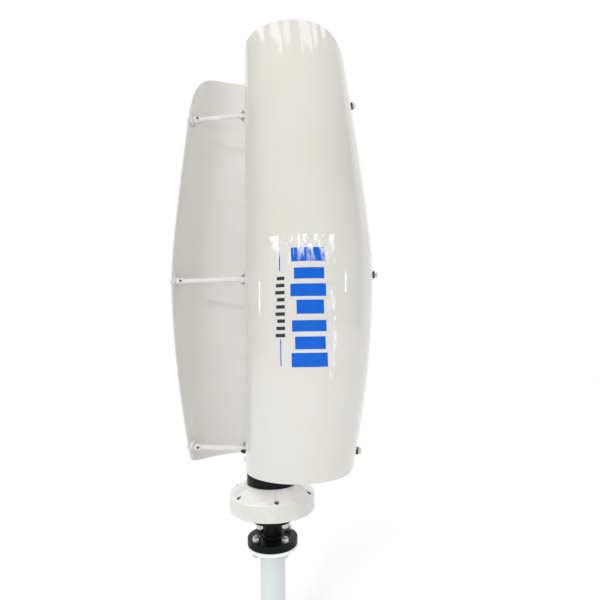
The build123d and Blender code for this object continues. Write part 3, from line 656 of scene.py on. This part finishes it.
class TURBINE_OT_arms(bpy.types.Operator):
    """Finish the arms, feet, bars, clips and centre tube"""
    bl_idname = "turbine.arms"
    bl_label = "Arms"

    def execute(self, context):
        coat = powder_coat("Arm powder coat", paint().arms)
        wear([n for n in NODES if n.startswith(("arm_low", "arm_mid", "arm_top", "feet_"))], coat)
        wear(("bar_mid", "bar_top", "clips", "centre_tube"), coat)
        wear(("bar_low",), black())
        wear(("wedge_pads",), moulded("Pad rubber", (0.012, 0.012, 0.013), (0.05, 0.05, 0.048), 0.62))
        wear(("grub_screws",), oxide_steel())
        wear(("blade_washers",), steel())
        wear(("tube_cap",), moulded("Cap plastic", (0.02, 0.02, 0.022), (0.06, 0.06, 0.06), 0.42))
        return {"FINISHED"}


class TURBINE_OT_rotor_bolts(bpy.types.Operator):
    """Make the threaded bolts and nuts of the arms and blades"""
    bl_idname = "turbine.rotor_bolts"
    bl_label = "Rotor bolts"

    def execute(self, context):
        in_place_of("blade_bolts", "rotor", self.blade_bolt)
        in_place_of("arm_bolts", "rotor", self.arm_bolt)
        in_place_of("arm_nuts", "rotor", self.arm_nut)
        wear(("clip_screws", "clip_nuts"), steel())
        return {"FINISHED"}

    def blade_bolt(self, shape, box):
        """M8 bolt from the outside of a blade into its foot."""
        length = box[1].x - box[0].x
        head, thread = 5.3 * MM, 21 * MM
        place = sideways(box) @ upended(length)
        hex_head(shape, 13 * MM, length - head, length, place)
        plain_shank(shape, 4 * MM, thread, length - head + LAP, place)
        screw_thread(shape, 4 * MM, 1.25 * MM, 0.0, thread + LAP, place)

    def arm_bolt(self, shape, box):
        """M6 bolt standing on its head."""
        length = box[1].z - box[0].z
        head, thread = 4 * MM, length - 12 * MM
        hex_head(shape, 10 * MM, 0.0, head, upright(box) @ upended(head))
        plain_shank(shape, 3 * MM, head - LAP, thread, upright(box))
        screw_thread(shape, 3 * MM, 1.0 * MM, thread - LAP, length, upright(box))

    def arm_nut(self, shape, box):
        hex_nut(shape, 10 * MM, 3 * MM, 0.0, box[1].z - box[0].z, upright(box))


class TURBINE_OT_print(bpy.types.Operator):
    """Lay the clear film and its printed bars on blade A"""
    bl_idname = "turbine.print"
    bl_label = "Printed film"

    def execute(self, context):
        spot = context.scene.turbine_print
        mesh = NODES["blade_a"].data
        points = [v.co for v in mesh.vertices]
        self.skin = BVHTree.FromPolygons(points, [tuple(p.vertices) for p in mesh.polygons])
        blue = ink("Blue ink", paint().ink)
        self.patch("print_film", spot.left, spot.left + spot.width, spot.bottom, spot.height,
                   2 * spot.lift, clear_film(spot))
        self.bars(spot, blue)
        rule = spot.left + RULE_AT * spot.width
        for index, start in enumerate(RULES_FROM):
            self.patch("print_rule_%d" % (index + 1), rule, rule + RULE_WIDE,
                       spot.bottom + start * spot.height, RULE_TALL * spot.height, spot.lift, blue)
        self.ticks(spot, rule, ink("Dark ink", (0.03, 0.035, 0.055)))
        return {"FINISHED"}

    def bars(self, spot, blue):
        """Wide bars of uneven length and thickness, one above the other."""
        step = BARS_TALL * spot.height / BAR_ROWS
        for index in range(BAR_ROWS):
            trim = BAR_TRIMS[index % len(BAR_TRIMS)] * spot.width
            self.patch("print_bar_%d" % (index + 1), spot.left + BAR_LEFT * spot.width + trim,
                       spot.left + BAR_RIGHT * spot.width - 0.4 * trim,
                       spot.bottom + BAR_FROM * spot.height + index * step,
                       (0.80 - 0.08 * (index % 3)) * step, spot.lift, blue)

    def ticks(self, spot, rule, grey):
        """Short dark marks in a column between the two rules."""
        for index in range(TICK_ROWS):
            start = rule - 10 * MM + 2 * MM * (index % 3)
            self.patch("print_tick_%d" % (index + 1), start, rule + 12 * MM,
                       spot.bottom + (TICK_FROM + TICK_STEP * index) * spot.height,
                       TICK_TALL * spot.height, spot.lift, grey)

    def patch(self, name, left, right, low, tall, lift, material):
        """A sheet laid on the blade from the front, a little above its skin."""
        across = max(2, int((right - left) / (4 * MM)))
        up = max(2, int(tall / (20 * MM)))
        points, faces = [], []
        for j in range(up + 1):
            for i in range(across + 1):
                start = Vector((left + (right - left) * i / across, -1.0, low + tall * j / up))
                hit, normal, _, _ = self.skin.ray_cast(start, Vector((0, 1, 0)))
                if hit is None:
                    raise RuntimeError(name + " runs off the blade")
                points.append(hit + normal * (lift if normal.y < 0 else -lift))
        for j in range(up):
            for i in range(across):
                a = j * (across + 1) + i
                faces.append((a, a + 1, a + across + 2, a + across + 1))
        mesh = bpy.data.meshes.new(name)
        mesh.from_pydata(points, [], faces)
        mesh.materials.append(material)
        mesh.shade_smooth()
        piece = bpy.data.objects.new(name, mesh)
        bpy.context.scene.collection.objects.link(piece)
        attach(piece, "rotor")


class TURBINE_OT_generator(bpy.types.Operator):
    """Finish the generator covers, their screws and everything inside them"""
    bl_idname = "turbine.generator"
    bl_label = "Generator"

    def execute(self, context):
        wear(("upper_cover", "lower_cover"), cast_enamel(paint()))
        wear(("cover_screws", "shaft_nut"), oxide_steel())
        wear(("magnet_plates", "spacers", "inner_races", "outer_races"),
             turned_metal("Ground bearing steel", (0.56, 0.56, 0.57), 0.22))
        wear(("magnets", "low_balls", "high_balls"), turned_metal("Nickel plate", (0.66, 0.63, 0.58), 0.16))
        wear(("low_cage", "high_cage"), turned_metal("Cage brass", (0.72, 0.5, 0.22), 0.28))
        wear(("stator_coils",), windings())
        wear(("stator_disc",), moulded("Casting resin", (0.05, 0.032, 0.014), (0.11, 0.08, 0.04), 0.3))
        rubber = moulded("Seal rubber", (0.01, 0.01, 0.01), (0.035, 0.035, 0.034), 0.55)
        wear(("seal", "cable_grommet"), rubber)
        return {"FINISHED"}


class TURBINE_OT_hub(bpy.types.Operator):
    """Finish the black hub ring and its bolts"""
    bl_idname = "turbine.hub"
    bl_label = "Hub"

    def execute(self, context):
        wear(("hub",), black())
        in_place_of("hub_bolts", "rotor", self.hub_bolt)
        wear(("cross_bolt", "cross_nut"), steel())
        return {"FINISHED"}

    def hub_bolt(self, shape, box):
        """M6 bolt with its head up, threaded all the way."""
        length = box[1].z - box[0].z
        head = 4 * MM
        hex_head(shape, 10 * MM, length - head, length, upright(box))
        screw_thread(shape, 3 * MM, 1.0 * MM, 0.0, length - head + LAP, upright(box))


class TURBINE_OT_neck(bpy.types.Operator):
    """Finish the neck, its flanges and weld, and make their bolts and nuts"""
    bl_idname = "turbine.neck"
    bl_label = "Neck and flanges"

    def execute(self, context):
        wear(("base_flange", "adaptor_plate", "neck_tube", "neck_flange", "stator_shaft"), black())
        bead("neck_weld", "neck_weld_bead", "black_paint", black())
        wear(("m10_washers",), steel())
        in_place_of("m10_nuts", "mast", self.nut)
        in_place_of("flange_bolts", "mast", self.flange_bolt)
        in_place_of("neck_bolts", "mast", self.neck_bolt)
        return {"FINISHED"}

    def nut(self, shape, box):
        hex_nut(shape, 16 * MM, 5 * MM, 0.0, box[1].z - box[0].z, upright(box))

    def flange_bolt(self, shape, box):
        """M10 bolt standing on its head."""
        length = box[1].z - box[0].z
        head, thread = 6.4 * MM, length - 20 * MM
        hex_head(shape, 16 * MM, 0.0, head, upright(box) @ upended(head))
        plain_shank(shape, 5 * MM, head - LAP, thread, upright(box))
        screw_thread(shape, 5 * MM, 1.5 * MM, thread - LAP, length, upright(box))

    def neck_bolt(self, shape, box):
        """M10 cap screw with its head up."""
        length = box[1].z - box[0].z
        head, thread = 5.5 * MM, 18 * MM
        cap_head(shape, 7.8 * MM, head, 3 * MM, upright(box) @ upended(length))
        plain_shank(shape, 5 * MM, thread - LAP, length - head + LAP, upright(box))
        screw_thread(shape, 5 * MM, 1.5 * MM, 0.0, thread, upright(box))


class TURBINE_OT_mast(bpy.types.Operator):
    """Finish the mast pipe, its flange and weld bead"""
    bl_idname = "turbine.mast"
    bl_label = "Mast"

    def execute(self, context):
        coat = mast_paint(paint())
        wear(("mast_tube",), coat)
        wear(("mast_flange",), powder_coat("Flange enamel", paint().flange, 0.2))
        bead("mast_weld", "mast_weld_bead", "mast_paint", coat)
        return {"FINISHED"}


class TURBINE_OT_stage(bpy.types.Operator):
    """Put up the floor, the lights and the camera"""
    bl_idname = "turbine.stage"
    bl_label = "Studio"

    def execute(self, context):
        studio = context.scene.turbine_studio
        self.floor(studio)
        self.room(studio)
        for index, skylight in enumerate(SKYLIGHTS):
            self.skylight("skylight_%d" % (index + 1), *skylight, studio.skylight)
        key = self.lamp("key", *KEY, studio.key, WARM)
        fill = self.lamp("fill", *FILL, studio.fill, WHITE)
        key.visible_glossy = fill.visible_glossy = False
        self.lamp("strip_left", *STRIP_LEFT, studio.strip_left, WHITE)
        self.lamp("strip_right", *STRIP_RIGHT, studio.strip_right, WHITE)
        self.aim(studio)
        context.scene.view_settings.view_transform = "Standard"
        return {"FINISHED"}

    def floor(self, studio):
        """A wide round sheet under the mast."""
        mesh = bpy.data.meshes.new("floor")
        mesh.from_pydata(circle(FLOOR_RADIUS, 0.0, 2 * SIDES), [], [tuple(range(2 * SIDES))])
        sheet = bpy.data.objects.new("floor", mesh)
        bpy.context.scene.collection.objects.link(sheet)
        n = Finish("Floor")
        patches = n.ramp(n.noise(1.5), 0.3, 0.7)
        n.link(n.mix(patches, shade(studio.floor, 1.0), shade(studio.floor, 0.985)), "Base Color")
        n.set(Roughness=0.85)
        mesh.materials.append(n.material)

    def room(self, studio):
        """White behind and above the turbine, a soft glow in front, greyer to the sides."""
        world = bpy.data.worlds.new("Studio")
        bpy.context.scene.world = world
        world.use_nodes = True
        n = Graph(world.node_tree)
        towards = n.add("ShaderNodeTexCoord").outputs["Generated"]
        behind = n.ramp(n.part(towards, 1), 0.36, 0.55, studio.room, studio.backdrop)
        above = n.ramp(n.part(towards, 2), 0.45, 0.85, studio.room, studio.ceiling)
        glow = n.ramp(n.dot(towards, GLOW_TOWARDS), 0.45, 1.0, 0.0, studio.glow)
        background = world.node_tree.nodes["Background"].inputs
        n.plug(n.math("ADD", n.math("MAXIMUM", behind, above), glow), background["Strength"])
        n.plug((1.0, 1.0, 1.0, 1.0), background["Color"])

    def skylight(self, name, turn, width, low, bright):
        """One pane of a far row of skylights, seen from the top of the blades."""
        turn, middle = math.radians(turn), math.radians(low + SKYLIGHT_TALL / 2)
        flat = math.cos(middle)
        away = Vector((math.sin(turn) * flat, -math.cos(turn) * flat, math.sin(middle)))
        across = 2 * SKYLIGHT_FAR * math.tan(math.radians(width) / 2) * flat
        tall = 2 * SKYLIGHT_FAR * math.tan(math.radians(SKYLIGHT_TALL) / 2)
        seen = Vector(SKYLIGHT_SEEN)
        self.lamp(name, seen + away * SKYLIGHT_FAR, seen, (across, tall),
                  bright * math.pi * across * tall, DAYLIGHT)

    def lamp(self, name, place, target, size, power, colour):
        """A rectangular light aimed at a point."""
        data = bpy.data.lights.new(name, "AREA")
        data.shape = "RECTANGLE"
        data.size, data.size_y = size
        data.energy = power
        data.color = colour
        lamp = bpy.data.objects.new(name, data)
        bpy.context.scene.collection.objects.link(lamp)
        lamp.location = place
        lamp.rotation_euler = (Vector(target) - Vector(place)).to_track_quat("-Z", "Y").to_euler()
        return lamp

    def aim(self, studio):
        """Stand the camera at its place, turned, tilted and rolled."""
        yaw, pitch, roll = (math.radians(v) for v in (studio.yaw, studio.pitch, studio.roll))
        ahead = Vector((-math.sin(yaw) * math.cos(pitch), math.cos(yaw) * math.cos(pitch), math.sin(pitch)))
        right = Vector((math.cos(yaw), math.sin(yaw), 0.0))
        up = right.cross(ahead)
        side = right * math.cos(roll) + up * math.sin(roll)
        top = up * math.cos(roll) - right * math.sin(roll)
        data = bpy.data.cameras.new("camera")
        data.lens = studio.lens
        data.sensor_width = SENSOR_WIDTH
        camera = bpy.data.objects.new("camera", data)
        bpy.context.scene.collection.objects.link(camera)
        turned = Matrix((side, top, -ahead)).transposed().to_4x4()
        camera.matrix_world = Matrix.Translation(Vector(studio.camera)) @ turned
        bpy.context.scene.camera = camera


STEPS = (TURBINE_OT_blades, TURBINE_OT_arms, TURBINE_OT_rotor_bolts, TURBINE_OT_print,
         TURBINE_OT_generator, TURBINE_OT_hub, TURBINE_OT_neck, TURBINE_OT_mast, TURBINE_OT_stage)


class TURBINE_PT_panel(bpy.types.Panel):
    """Lists the steps that finish the turbine"""
    bl_idname = "TURBINE_PT_panel"
    bl_label = "Turbine"
    bl_space_type = "VIEW_3D"
    bl_region_type = "UI"
    bl_category = "Turbine"

    def draw(self, context):
        for step in STEPS:
            self.layout.operator(step.bl_idname)


GROUPS = {"turbine_paint": PaintSettings, "turbine_print": PrintSettings, "turbine_studio": StudioSettings}


def register():
    for cls in (*GROUPS.values(), *STEPS, TURBINE_PT_panel):
        bpy.utils.register_class(cls)
    for name, group in GROUPS.items():
        setattr(bpy.types.Scene, name, PointerProperty(type=group))


def unregister():
    for name in GROUPS:
        delattr(bpy.types.Scene, name)
    for cls in (TURBINE_PT_panel, *reversed(STEPS), *GROUPS.values()):
        bpy.utils.unregister_class(cls)


def main():
    register()
    for step in STEPS:
        space, name = step.bl_idname.split(".")
        getattr(getattr(bpy.ops, space), name)()


if __name__ == "__main__":
    main()
